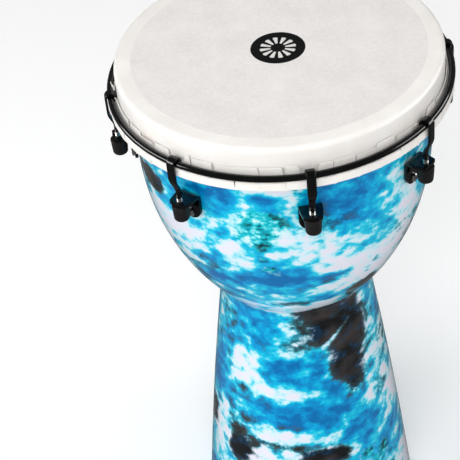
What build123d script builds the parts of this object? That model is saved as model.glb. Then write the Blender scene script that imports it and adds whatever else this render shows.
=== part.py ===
"""Djembe with a moulded shell and bolt-tensioned film head.

Millimetres, +Z up. The origin is the centre of the foot's bottom face and the drum's axis is Z.
Eight identical tuning sets (hook, bracket, nut) stand at multiples of 45 degrees, the first on +X.
"""

from build123d import *
import os
from math import cos, pi

# ---- driving dimensions ----
DRUM_HEIGHT = 610.0  # foot to the playing face
SETS = 8  # tuning sets round the rim

# shell
WALL = 4.5
FOOT_R = 119.8
TUBE_MID_R = 103.3
TUBE_MID_Z = 148.0
WAIST_R = 80.0
WAIST_Z = 318.0
BOWL_R = 144.5  # widest outside radius of the bowl
BOWL_Z = 515.0  # height of that widest point
BOWL_ARC_R = 270.0  # radius of the bowl's profile
BOWL_END_Z = 340.0  # the bowl's arc runs down to here, and the neck fillet trims it
NECK_FILLET = 14.0
WAIST_FILLET = 90.0
LIP_R = 152.0
LIP_Z = 592.0
LIP_WALL = 6.5
LIP_ROUND = 3.0
FOOT_ROUND = 2.0
HEAD_GAP = 0.3  # film above the bearing edge

# head film
FILM = 0.4
COLLAR_R = 156.2  # outside of the head's vertical wall
SHOULDER = 5.0  # outside radius where the head turns down
COATING_R = 140.0
COATING_THICK = 0.15
MARK_R = 26.0
MARK_THICK = 0.1
TAB_GAP = 0.3  # between the collar wall and the tabs
TAB_TOP = 18.5  # tab tops below the playing face
TABS_PER_SET = 3
TAB_SLIT = 1.6
HOOK_NOTCH = 17.0  # width left open in the tabs at each hook
FOLD_GAP = 0.15  # film clear of the hoop that it is folded round

# flesh hoop and rim ring
HOOP_INNER = 157.4
HOOP_OUTER = 163.2
HOOP_TOP = 30.8  # below the playing face
HOOP_BOTTOM = 39.0
HOOP_ROUND = 1.2
RING_R = 162.5  # centre line of the rim ring
RING_WIRE = 3.2  # radius of its round bar
RING_DROP = 27.0  # its centre below the playing face

# tuning hooks
STRAP_WIDTH = 8.6
STRAP_END_WIDTH = 5.6
STRAP_THICK = 2.4
CLAW_GAP = 0.2  # strap clear of the ring
CLAW_LIP = 2.6  # inner leg below the ring's centre
STRAP_STRAIGHT_END = 42.5  # outer leg runs this far below the playing face
STRAP_BEND = 8.0  # pull of the curve at both ends of the bend
STRAP_TIP = 62.0
ROD_AXIS_R = 161.4
ROD_R = 3.0  # M6
ROD_TOP = 55.0
ROD_END = 90.0

# brackets
PLATE_TOP = 71.5  # below the playing face
PLATE = 3.0
PLATE_OUT_R = 167.0
PLATE_BACK_WIDTH = 22.0
PLATE_FRONT_WIDTH = 17.4
TONGUE_DROP = 29.0  # tongue's end below the plate's top
TONGUE_INNER_R = 145.4
TONGUE_ROUND = 10.9
PLATE_CORNER = 2.0
ROD_HOLE_R = 3.5

# nuts and caps
WASHER_GAP = 0.15
NUT_WASHER_R = 5.5
NUT_WASHER_BORE = 3.35
NUT_WASHER_THICK = 1.0
NUT_GAP = 0.3  # washer to nut
NUT_FLATS = 10.0
NUT_TALL = 8.0
NUT_BORE_R = 3.05  # running fit on the rod
CAP_TOP_R = 8.25
CAP_LOW_R = 7.4
CAP_TALL = 16.9
CAP_ROUND = 2.6
CAP_POCKET_R = 4.2
CAP_FLOOR = 2.0

# bracket bolts, M5
BOLT_DROP = 23.0  # bolt axis below the plate's top
BOLT_R = 2.5
BOLT_HOLE_R = 2.8
BOLT_HEAD_R = 4.4
BOLT_HEAD_TALL = 2.6
BOLT_HEAD_ROUND = 1.6
BOLT_KEY_FLATS = 3.0
BOLT_KEY_DEEP = 1.5
BOLT_END = 15.0  # shank length from the tongue's outer face inwards
INNER_WASHER_R = 5.0
INNER_WASHER_THICK = 1.0
INNER_NUT_FLATS = 8.0
INNER_NUT_TALL = 4.0
SEAT_GAP = 0.05

# ---- heights worked out from them ----
RING_Z = DRUM_HEIGHT - RING_DROP
PLATE_Z = DRUM_HEIGHT - PLATE_TOP
NUT_TOP_Z = PLATE_Z - PLATE - WASHER_GAP - NUT_WASHER_THICK - NUT_GAP
NUT_LOW_Z = NUT_TOP_Z - NUT_TALL
CAP_LOW_Z = NUT_TOP_Z - CAP_TALL
BOLT_Z = PLATE_Z - BOLT_DROP
TONGUE_OUTER_R = TONGUE_INNER_R + PLATE
BOWL_CENTRE_R = BOWL_R - BOWL_ARC_R
CUTTER = 60.0  # side of the plain blocks used for cutting
TAB_CUT = 4.0  # depth of the blocks that slit the tabs
NEAR = 1.0  # reach used when edges are picked by place
PAST = 1.0  # how far a cut runs past the face it opens
FILM_UNDER_Z = DRUM_HEIGHT - FILM


def point(r, z):
    """A point of a profile, in the XZ half plane."""
    return Vector(r, 0, z)


def spun(outline):
    """The solid that a closed profile makes when it turns about the drum's axis."""
    face = make_face(outline, Plane.XZ)
    return revolve(face, Axis.Z, 360)


def ring_band(inner, outer, low, high):
    """A plain ring of rectangular section."""
    return Pos(0, 0, low) * extrude(Circle(outer) - Circle(inner), high - low)


def bowl_arc(inset):
    """The bowl's profile arc, moved inwards, from its widest point down to the neck."""
    radius = BOWL_ARC_R - inset
    centre = point(BOWL_CENTRE_R, BOWL_Z)
    half_low = (BOWL_END_Z - BOWL_Z) / 2
    low = BOWL_END_Z - BOWL_Z
    middle = centre + point((radius**2 - half_low**2) ** 0.5, half_low)
    end = centre + point((radius**2 - low**2) ** 0.5, low)
    return ThreePointArc(centre + point(radius, 0), middle, end)


def shell_side(inset, lip_inset):
    """One side of the shell's wall as a wire, from the lip down to the foot."""
    lip = point(LIP_R - lip_inset, LIP_Z)
    bowl = bowl_arc(inset)
    top = Line(point(LIP_R - lip_inset, FILM_UNDER_Z - HEAD_GAP), lip)
    throat = TangentArc([bowl @ 0, lip], tangent=(0, 0, 1))
    waist = point(WAIST_R - inset, WAIST_Z)
    tube = ThreePointArc(waist, point(TUBE_MID_R - inset, TUBE_MID_Z), point(FOOT_R - inset, 0))
    neck = Line(bowl @ 1, waist)
    return [top, throat, bowl, neck, tube]


def make_shell():
    """One moulded wall: lip, bowl, neck and flared tube, drilled for the bracket bolts."""
    outside = shell_side(0, 0)
    inside = shell_side(WALL, LIP_WALL)
    lip_top = Line(inside[0] @ 0, outside[0] @ 0)
    foot = Line(inside[-1] @ 1, outside[-1] @ 1)
    face = make_face(outside + inside + [lip_top, foot], Plane.XZ)
    wall = revolve(face, Axis.Z, 360)
    neck_edges = [e for e in wall.edges() if abs(e.center().Z - BOWL_END_Z) < NEAR]
    wall = fillet(neck_edges, NECK_FILLET)
    waist_edges = [e for e in wall.edges() if abs(e.center().Z - WAIST_Z) < NEAR]
    wall = fillet(waist_edges, WAIST_FILLET)
    low_edges = [e for e in wall.edges() if abs(e.center().Z) < NEAR]
    wall = fillet(low_edges, FOOT_ROUND)
    top_edges = [e for e in wall.edges() if e.center().Z > FILM_UNDER_Z - 2 * HEAD_GAP]
    wall = fillet(top_edges, LIP_ROUND)
    drill = Pos(TONGUE_INNER_R, 0, BOLT_Z) * Rot(0, 90, 0) * Cylinder(BOLT_HOLE_R, CUTTER)
    for angle in set_angles():
        wall -= Rot(0, 0, angle) * drill
    return wall


def set_angles():
    """The directions of the tuning sets, in degrees from +X."""
    return [360.0 / SETS * i for i in range(SETS)]


def make_head_film():
    """The film: flat, rolled over the shoulder, down the collar and folded round the hoop."""
    top = DRUM_HEIGHT
    flat_r = COLLAR_R - SHOULDER
    hoop_low = top - HOOP_BOTTOM
    hoop_top = top - HOOP_TOP
    disc = Pos(0, 0, top - FILM) * extrude(Circle(flat_r), FILM)
    shoulder_centre = point(flat_r, top - SHOULDER)
    slant = cos(pi / 4)
    outer_arc = ThreePointArc(
        point(flat_r, top),
        shoulder_centre + point(SHOULDER * slant, SHOULDER * slant),
        point(COLLAR_R, top - SHOULDER),
    )
    small = SHOULDER - FILM
    inner_arc = ThreePointArc(
        point(flat_r, top - FILM),
        shoulder_centre + point(small * slant, small * slant),
        point(COLLAR_R - FILM, top - SHOULDER),
    )
    joins = [
        Line(outer_arc @ 0, inner_arc @ 0),
        Line(outer_arc @ 1, inner_arc @ 1),
    ]
    shoulder = spun([outer_arc, inner_arc] + joins)
    skirt_r = HOOP_OUTER + FOLD_GAP + FILM
    floor_z = hoop_low - FOLD_GAP - FILM
    collar = ring_band(COLLAR_R - FILM, COLLAR_R, floor_z, top - SHOULDER)
    floor = ring_band(COLLAR_R - FILM, skirt_r, floor_z, hoop_low - FOLD_GAP)
    skirt = ring_band(skirt_r - FILM, skirt_r, floor_z, hoop_top + FOLD_GAP)
    tab_r = COLLAR_R + TAB_GAP
    over = ring_band(tab_r, skirt_r, hoop_top + FOLD_GAP, hoop_top + FOLD_GAP + FILM)
    tabs = ring_band(tab_r, tab_r + FILM, hoop_top + FOLD_GAP, top - TAB_TOP)
    tabs -= tab_cuts(hoop_top + FOLD_GAP + 2 * FILM)
    film = disc + shoulder + collar + floor + skirt + over + tabs
    return film


def tab_cuts(low_z):
    """Blocks that open the tabs at each hook and slit them between the hooks."""
    cuts = []
    step = 360.0 / SETS
    for angle in set_angles():
        notch = Pos(COLLAR_R, 0, low_z + CUTTER / 2) * Box(TAB_CUT, HOOK_NOTCH, CUTTER)
        cuts.append(Rot(0, 0, angle) * notch)
        slit = Pos(COLLAR_R, 0, low_z + CUTTER / 2) * Box(TAB_CUT, TAB_SLIT, CUTTER)
        for i in range(1, TABS_PER_SET):
            cuts.append(Rot(0, 0, angle + step * i / TABS_PER_SET) * slit)
    return cuts


def make_head_coating():
    """The thin rough coating sprayed on the playing area."""
    return Pos(0, 0, DRUM_HEIGHT) * extrude(Circle(COATING_R), COATING_THICK)


def make_centre_mark():
    """A plain round printed mark in the middle of the coating."""
    return Pos(0, 0, DRUM_HEIGHT + COATING_THICK) * extrude(Circle(MARK_R), MARK_THICK)


def make_flesh_hoop():
    """The steel hoop that the film is folded round."""
    band = ring_band(HOOP_INNER, HOOP_OUTER, DRUM_HEIGHT - HOOP_BOTTOM, DRUM_HEIGHT - HOOP_TOP)
    return fillet(band.edges().filter_by(GeomType.CIRCLE), HOOP_ROUND)


def make_rim_ring():
    """The round steel bar, bent to a ring and welded, that presses the hoop down."""
    return Pos(0, 0, RING_Z) * Torus(RING_R, RING_WIRE)


def make_hook():
    """A flat strap turned over the ring, bent in under the skirt and drawn to a threaded rod."""
    inner = RING_WIRE + CLAW_GAP
    outer = inner + STRAP_THICK
    ring = point(RING_R, RING_Z)
    low = DRUM_HEIGHT - STRAP_STRAIGHT_END
    tip = DRUM_HEIGHT - STRAP_TIP
    half = STRAP_THICK / 2
    claw_out = ThreePointArc(ring + point(outer, 0), ring + point(0, outer), ring + point(-outer, 0))
    claw_in = ThreePointArc(ring + point(inner, 0), ring + point(0, inner), ring + point(-inner, 0))
    lip_out = Line(claw_out @ 1, claw_out @ 1 - point(0, CLAW_LIP))
    lip_in = Line(claw_in @ 1, claw_in @ 1 - point(0, CLAW_LIP))
    lip_end = Line(lip_out @ 1, lip_in @ 1)
    leg_out = Line(claw_out @ 0, point(RING_R + outer, low))
    leg_in = Line(claw_in @ 0, point(RING_R + inner, low))
    bend_out = Bezier(
        leg_out @ 1,
        point(RING_R + outer, low - STRAP_BEND),
        point(ROD_AXIS_R + half, tip + STRAP_BEND),
        point(ROD_AXIS_R + half, tip),
    )
    bend_in = Bezier(
        leg_in @ 1,
        point(RING_R + inner, low - STRAP_BEND),
        point(ROD_AXIS_R - half, tip + STRAP_BEND),
        point(ROD_AXIS_R - half, tip),
    )
    end = Line(bend_out @ 1, bend_in @ 1)
    edges = [claw_out, lip_out, lip_end, lip_in, claw_in, leg_in, bend_in, end, bend_out, leg_out]
    side = make_face(edges, Plane.XZ)
    strap = extrude(side, STRAP_WIDTH / 2, both=True)
    taper = Pos(ROD_AXIS_R, 0, 0) * Rot(0, 90, 0) * extrude(taper_outline(low, tip), CUTTER, both=True)
    strap = strap & taper
    rod_length = ROD_END - ROD_TOP
    rod = Pos(ROD_AXIS_R, 0, DRUM_HEIGHT - ROD_TOP - rod_length / 2) * Cylinder(ROD_R, rod_length)
    return strap + rod


def taper_outline(low, tip):
    """The strap seen from outside, full width down to low and then narrowing to its tip."""
    half = STRAP_WIDTH / 2
    end = STRAP_END_WIDTH / 2
    top = RING_Z + CUTTER
    one_side = [(-top, -half), (-low, -half), (-tip, -end)]
    other_side = [(x, -y) for x, y in reversed(one_side)]
    return make_face(Polyline(*one_side, *other_side, close=True))


def make_bracket():
    """A bent steel lug: a flat plate for the rod and a curved tongue against the shell."""
    back = PLATE_BACK_WIDTH / 2
    front = PLATE_FRONT_WIDTH / 2
    plan = make_face(
        Polyline(
            (TONGUE_INNER_R - PLATE, -back),
            (TONGUE_OUTER_R + 2 * PLATE, -back),
            (PLATE_OUT_R, -front),
            (PLATE_OUT_R, front),
            (TONGUE_OUTER_R + 2 * PLATE, back),
            (TONGUE_INNER_R - PLATE, back),
            close=True,
        )
    )
    corners = [v for v in plan.vertices() if v.X > PLATE_OUT_R - NEAR]
    plan = fillet(corners, PLATE_CORNER)
    plate = Pos(0, 0, PLATE_Z - PLATE) * extrude(plan, PLATE)
    plate -= Pos(ROD_AXIS_R, 0, PLATE_Z) * Cylinder(ROD_HOLE_R, CUTTER)
    band = ring_band(TONGUE_INNER_R, TONGUE_OUTER_R, PLATE_Z - TONGUE_DROP, PLATE_Z)
    tongue_face = Rectangle(2 * TONGUE_DROP, PLATE_BACK_WIDTH)
    low_corners = [v for v in tongue_face.vertices() if v.X > 0]
    tongue_face = fillet(low_corners, TONGUE_ROUND)
    cutter = Pos(TONGUE_INNER_R, 0, PLATE_Z) * Rot(0, 90, 0) * extrude(tongue_face, CUTTER / 4, both=True)
    tongue = band & cutter
    plate -= ring_band(NEAR, TONGUE_INNER_R, 0, DRUM_HEIGHT)
    bracket = plate + tongue
    bend = [
        e
        for e in bracket.edges()
        if abs(e.center().Z - (PLATE_Z - PLATE)) < NEAR / 2 and abs(e.center().X - TONGUE_OUTER_R) < NEAR
    ]
    bracket = fillet(bend, PLATE / 2)
    bracket -= Pos(TONGUE_INNER_R, 0, BOLT_Z) * Rot(0, 90, 0) * Cylinder(BOLT_HOLE_R, CUTTER)
    return bracket


def make_nut_washer():
    """The flat washer between a bracket and its tuning nut."""
    low = PLATE_Z - PLATE - WASHER_GAP - NUT_WASHER_THICK
    disc = Circle(NUT_WASHER_R) - Circle(NUT_WASHER_BORE)
    return Pos(ROD_AXIS_R, 0, low) * extrude(disc, NUT_WASHER_THICK)


def make_tuning_nut():
    """The hexagonal steel nut under the bracket."""
    hexagon = RegularPolygon(NUT_FLATS / 2, 6, major_radius=False) - Circle(NUT_BORE_R)
    return Pos(ROD_AXIS_R, 0, NUT_LOW_Z) * extrude(hexagon, NUT_TALL)


def make_nut_cap():
    """The soft black cap pushed over the nut, closed under the rod's end."""
    low = CAP_LOW_Z
    outline = Polyline(
        (0, 0, low),
        (CAP_LOW_R, 0, low),
        (CAP_TOP_R, 0, NUT_TOP_Z),
        (0, 0, NUT_TOP_Z),
        close=True,
    )
    body = revolve(make_face(outline, Plane.XZ), Axis.Z, 360)
    low_edge = [e for e in body.edges().filter_by(GeomType.CIRCLE) if e.center().Z < low + NEAR]
    body = fillet(low_edge, CAP_ROUND)
    pocket = Pos(0, 0, NUT_LOW_Z) * extrude(
        RegularPolygon(NUT_FLATS / 2, 6, major_radius=False), NUT_TALL + PAST
    )
    well_low = low + CAP_FLOOR
    well = Pos(0, 0, well_low) * extrude(Circle(CAP_POCKET_R), NUT_LOW_Z - well_low + PAST)
    body = body - pocket - well
    return Pos(ROD_AXIS_R, 0, 0) * body


def make_lug_bolt():
    """The button-head bolt that holds a bracket, along X, with its head outside."""
    seat = TONGUE_OUTER_R + SEAT_GAP
    shank = Pos(seat + (PAST - BOLT_END) / 2, 0, 0) * Rot(0, 90, 0) * Cylinder(BOLT_R, BOLT_END + PAST)
    head = Pos(seat + BOLT_HEAD_TALL / 2, 0, 0) * Rot(0, 90, 0) * Cylinder(BOLT_HEAD_R, BOLT_HEAD_TALL)
    outer_edge = [e for e in head.edges().filter_by(GeomType.CIRCLE) if e.center().X > seat + NEAR]
    head = fillet(outer_edge, BOLT_HEAD_ROUND)
    key = Pos(seat + BOLT_HEAD_TALL - BOLT_KEY_DEEP, 0, 0) * Rot(0, 90, 0) * extrude(
        RegularPolygon(BOLT_KEY_FLATS / 2, 6, major_radius=False), BOLT_KEY_DEEP + PAST
    )
    return Pos(0, 0, BOLT_Z) * (head + shank - key)


def shell_inner_r():
    """The shell's inside radius at the bracket bolts, where the inside washers seat."""
    rise = BOLT_Z - BOWL_Z
    outer_radius = ((LIP_Z - BOWL_Z) ** 2 + (LIP_R - BOWL_R) ** 2) / (2 * (LIP_R - BOWL_R))
    return BOWL_R - WALL + outer_radius - (outer_radius**2 - rise**2) ** 0.5


def make_lug_bolt_washer():
    """The washer inside the shell under a bracket bolt's nut."""
    face_r = (shell_inner_r() ** 2 - INNER_WASHER_R**2) ** 0.5 - SEAT_GAP
    disc = Circle(INNER_WASHER_R) - Circle(BOLT_HOLE_R)
    return Pos(face_r, 0, BOLT_Z) * Rot(0, -90, 0) * extrude(disc, INNER_WASHER_THICK)


def make_lug_bolt_nut():
    """The nut inside the shell on a bracket bolt."""
    face_r = (shell_inner_r() ** 2 - INNER_WASHER_R**2) ** 0.5 - SEAT_GAP
    seat = face_r - INNER_WASHER_THICK - SEAT_GAP
    hexagon = RegularPolygon(INNER_NUT_FLATS / 2, 6, major_radius=False) - Circle(BOLT_R + SEAT_GAP)
    return Pos(seat, 0, BOLT_Z) * Rot(0, -90, 0) * extrude(hexagon, INNER_NUT_TALL)


def write(name, shape):
    """Write one node."""
    export_step(shape, f"parts/{name}.step")


def write_round(name, shape):
    """Write one node for each tuning set, numbered from 1."""
    for number, angle in enumerate(set_angles(), start=1):
        write(f"{name}_{number}", Rot(0, 0, angle) * shape)


def write_group(name, shape):
    """Write all the copies of a small fastener as one node of separate solids."""
    write(name, Compound(children=[Rot(0, 0, angle) * shape for angle in set_angles()]))


def main():
    """Model every piece and write its file."""
    os.makedirs("parts", exist_ok=True)
    write("shell", make_shell())
    write("head_film", make_head_film())
    write("head_coating", make_head_coating())
    write("centre_mark", make_centre_mark())
    write("flesh_hoop", make_flesh_hoop())
    write("rim_ring", make_rim_ring())
    write_round("hook", make_hook())
    write_round("lug_bracket", make_bracket())
    write_round("tuning_nut", make_tuning_nut())
    write_round("nut_cap", make_nut_cap())
    write_group("nut_washers", make_nut_washer())
    write_group("lug_bolts", make_lug_bolt())
    write_group("lug_bolt_washers", make_lug_bolt_washer())
    write_group("lug_bolt_nuts", make_lug_bolt_nut())


if __name__ == "__main__":
    main()
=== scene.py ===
"""Looks of a djembe: printed moulded shell, film head and bolt-tensioned hooks, in metres."""

import logging
import math
from dataclasses import dataclass, field
from enum import Enum

import bmesh
import bpy
import numpy as np
from mathutils import Matrix, Vector, noise


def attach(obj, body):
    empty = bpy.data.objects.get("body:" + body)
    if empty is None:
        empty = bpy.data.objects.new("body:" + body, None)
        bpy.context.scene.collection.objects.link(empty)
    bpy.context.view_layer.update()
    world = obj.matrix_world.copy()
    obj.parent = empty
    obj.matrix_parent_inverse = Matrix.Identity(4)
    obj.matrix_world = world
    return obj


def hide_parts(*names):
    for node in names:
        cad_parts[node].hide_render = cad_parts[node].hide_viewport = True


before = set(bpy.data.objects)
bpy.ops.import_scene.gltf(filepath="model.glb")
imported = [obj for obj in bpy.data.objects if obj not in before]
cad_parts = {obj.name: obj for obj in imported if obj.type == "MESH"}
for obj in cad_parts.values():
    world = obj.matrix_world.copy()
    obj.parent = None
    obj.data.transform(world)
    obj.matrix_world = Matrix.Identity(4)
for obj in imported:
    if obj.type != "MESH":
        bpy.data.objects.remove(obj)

MM = 0.001
SETS = 8
SET_ANGLES = [2 * math.pi / SETS * i for i in range(SETS)]
LOG = logging.getLogger("djembe")

Socket = bpy.types.NodeSocket
Section = list[tuple[float, float]]
Started = tuple[bpy.types.Material, bpy.types.NodeTree, bpy.types.Node, Socket]


# ---------------------------------------------------------------- helpers


def linear(colour: str) -> tuple[float, float, float, float]:
    """Turn an sRGB hex colour into a linear one.

    Args:
        colour: six hex digits, with or without a leading hash.

    Returns:
        Red, green, blue and alpha for a shader socket.
    """
    digits = colour.lstrip("#")
    parts = [int(digits[i : i + 2], 16) / 255 for i in (0, 2, 4)]
    line = [p / 12.92 if p <= 0.04045 else ((p + 0.055) / 1.055) ** 2.4 for p in parts]
    return (line[0], line[1], line[2], 1.0)


def add(tree: bpy.types.NodeTree, kind: str, links: dict | None = None, **settings: object) -> bpy.types.Node:
    """Add one node with its settings and links.

    Args:
        tree: the shader or geometry tree.
        kind: the node type's identifier.
        links: input name or index to a value or to another node's output.
        settings: the node's own attributes.

    Returns:
        The new node.
    """
    node = tree.nodes.new(kind)
    for name, value in settings.items():
        setattr(node, name, value)
    for key, value in (links or {}).items():
        socket = node.inputs[key]
        if isinstance(value, Socket):
            tree.links.new(value, socket)
        else:
            socket.default_value = value
    return node


def ramp(tree: bpy.types.NodeTree, factor: Socket, stops: list[tuple[float, str]]) -> Socket:
    """Add a colour ramp.

    Args:
        tree: the shader tree.
        factor: what drives the ramp.
        stops: position and hex colour of each stop, in order.

    Returns:
        The ramp's colour output.
    """
    node = add(tree, "ShaderNodeValToRGB", {0: factor})
    elements = node.color_ramp.elements
    while len(elements) < len(stops):
        elements.new(0.5)
    for element, (place, colour) in zip(elements, stops):
        element.position = place
        element.color = linear(colour)
    return node.outputs[0]


def mesh_object(name: str, points: np.ndarray, faces: list[tuple[int, ...]]) -> bpy.types.Object:
    """Make a mesh object at the origin from points in metres.

    Args:
        name: the piece's name.
        points: one row of x, y, z for each vertex.
        faces: vertex numbers of each face.

    Returns:
        The new object, linked to the scene.
    """
    mesh = bpy.data.meshes.new(name)
    mesh.from_pydata([tuple(map(float, p)) for p in points], [], faces)
    mesh.update()
    piece = bpy.data.objects.new(name, mesh)
    bpy.context.scene.collection.objects.link(piece)
    return piece


def shade(piece: bpy.types.Object, sharp_degrees: float = 35.0) -> None:
    """Shade smooth, with edges steeper than the angle kept sharp.

    Args:
        piece: the mesh object.
        sharp_degrees: edges that turn more than this stay sharp.
    """
    mesh = piece.data
    mesh.polygons.foreach_set("use_smooth", [True] * len(mesh.polygons))
    mesh.set_sharp_from_angle(angle=math.radians(sharp_degrees))


def outward(piece: bpy.types.Object) -> None:
    """Merge doubled points and turn every face of a closed mesh outwards.

    Args:
        piece: the mesh object.
    """
    work = bmesh.new()
    work.from_mesh(piece.data)
    bmesh.ops.remove_doubles(work, verts=work.verts, dist=1e-7)
    bmesh.ops.recalc_face_normals(work, faces=work.faces)
    work.to_mesh(piece.data)
    work.free()


def close_axis(piece: bpy.types.Object, reach: float) -> None:
    """Close the small holes that turning leaves at the axis.

    Args:
        piece: the turned piece.
        reach: a radius, in metres, a little wider than the holes.
    """
    work = bmesh.new()
    work.from_mesh(piece.data)
    small = [f for f in work.faces if all(math.hypot(v.co.x, v.co.y) < reach for v in f.verts)]
    bmesh.ops.delete(work, geom=small, context="FACES")
    bmesh.ops.holes_fill(work, edges=[e for e in work.edges if e.is_boundary], sides=0)
    bmesh.ops.recalc_face_normals(work, faces=work.faces)
    work.to_mesh(piece.data)
    work.free()


def round_copies(blank: bpy.types.Object, name: str, reach: float, sharp: float) -> list[bpy.types.Object]:
    """Stand a copy of a blank at every tuning set, and remove the blank.

    Args:
        blank: the piece as it is in the first set, or on the axis.
        name: the copies' name, to which the set's number is added.
        reach: how far the copies move out from the axis, in metres.
        sharp: degrees above which an edge stays sharp.

    Returns:
        The copies, in the order of the sets.
    """
    copies = []
    for number, angle in enumerate(SET_ANGLES, start=1):
        mesh = blank.data.copy()
        mesh.name = f"{name}_{number}"
        spot = Vector((math.cos(angle), math.sin(angle), 0)) * reach
        mesh.transform(Matrix.Translation(spot) @ Matrix.Rotation(angle, 4, "Z"))
        piece = bpy.data.objects.new(f"{name}_{number}", mesh)
        bpy.context.scene.collection.objects.link(piece)
        shade(piece, sharp)
        copies.append(piece)
    bpy.data.objects.remove(blank)
    return copies


def apply_modifiers(piece: bpy.types.Object) -> bpy.types.Object:
    """Turn a piece and its modifiers into one plain mesh.

    Args:
        piece: an object with modifiers that haven't been evaluated yet.

    Returns:
        The same object with the result as its own mesh.
    """
    graph = bpy.context.evaluated_depsgraph_get()
    result = bpy.data.meshes.new_from_object(piece.evaluated_get(graph))
    result.name = piece.name
    piece.modifiers.clear()
    piece.data = result
    return piece


def turned_about(points: np.ndarray, angle: float) -> np.ndarray:
    """Points turned about the drum's axis.

    Args:
        points: one row of x, y, z for each point.
        angle: radians, anticlockwise from above.

    Returns:
        The turned points.
    """
    turn = np.array(
        [[math.cos(angle), -math.sin(angle), 0], [math.sin(angle), math.cos(angle), 0], [0, 0, 1]]
    )
    return points @ turn.T


def arc(centre: tuple[float, float], radius: float, start: float, end: float, count: int) -> Section:
    """Points along an arc of a profile.

    Args:
        centre: the arc's centre.
        radius: its radius.
        start: degrees at its first point.
        end: degrees at its last point.
        count: the number of points.

    Returns:
        The points, first and last included.
    """
    angles = [math.radians(start + (end - start) * i / (count - 1)) for i in range(count)]
    return [(centre[0] + radius * math.cos(a), centre[1] + radius * math.sin(a)) for a in angles]


# ---------------------------------------------------------------- finishes


class Finish:
    """A real material and how its surface was made."""

    name: str

    def start(self, values: dict[str, object]) -> Started:
        """Make a material with its uniform values set.

        Args:
            values: the value of each Principled input that is the same everywhere.

        Returns:
            The material, its tree, its Principled node and the Object coordinates.
        """
        material = bpy.data.materials.new(self.name)
        material.use_nodes = True
        tree = material.node_tree
        tree.nodes.clear()
        surface = add(tree, "ShaderNodeBsdfPrincipled", values)
        add(tree, "ShaderNodeOutputMaterial", {"Surface": surface.outputs[0]})
        place = add(tree, "ShaderNodeTexCoord").outputs["Object"]
        return material, tree, surface, place

    def build(self) -> bpy.types.Material:
        """Make the material.

        Returns:
            The finished material.
        """
        raise NotImplementedError


def grain(tree: bpy.types.NodeTree, place: Socket, size_mm: float, detail: float = 2.0) -> Socket:
    """A noise whose features are about size_mm across.

    Args:
        tree: the shader tree.
        place: the coordinates in metres.
        size_mm: the size of one feature.
        detail: octaves of finer noise.

    Returns:
        The noise value, 0 to 1.
    """
    node = add(tree, "ShaderNodeTexNoise", {"Vector": place, "Scale": 1 / (size_mm * MM), "Detail": detail})
    return node.outputs[0]


def relief(tree: bpy.types.NodeTree, surface: bpy.types.Node, height: Socket, depth_mm: float) -> None:
    """Wire a height into the surface's normal.

    Args:
        tree: the shader tree.
        surface: the Principled node.
        height: 0 to 1.
        depth_mm: how deep the relief is.
    """
    bump = add(tree, "ShaderNodeBump", {"Height": height, "Strength": 1.0, "Distance": depth_mm * MM})
    tree.links.new(bump.outputs[0], surface.inputs["Normal"])


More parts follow.
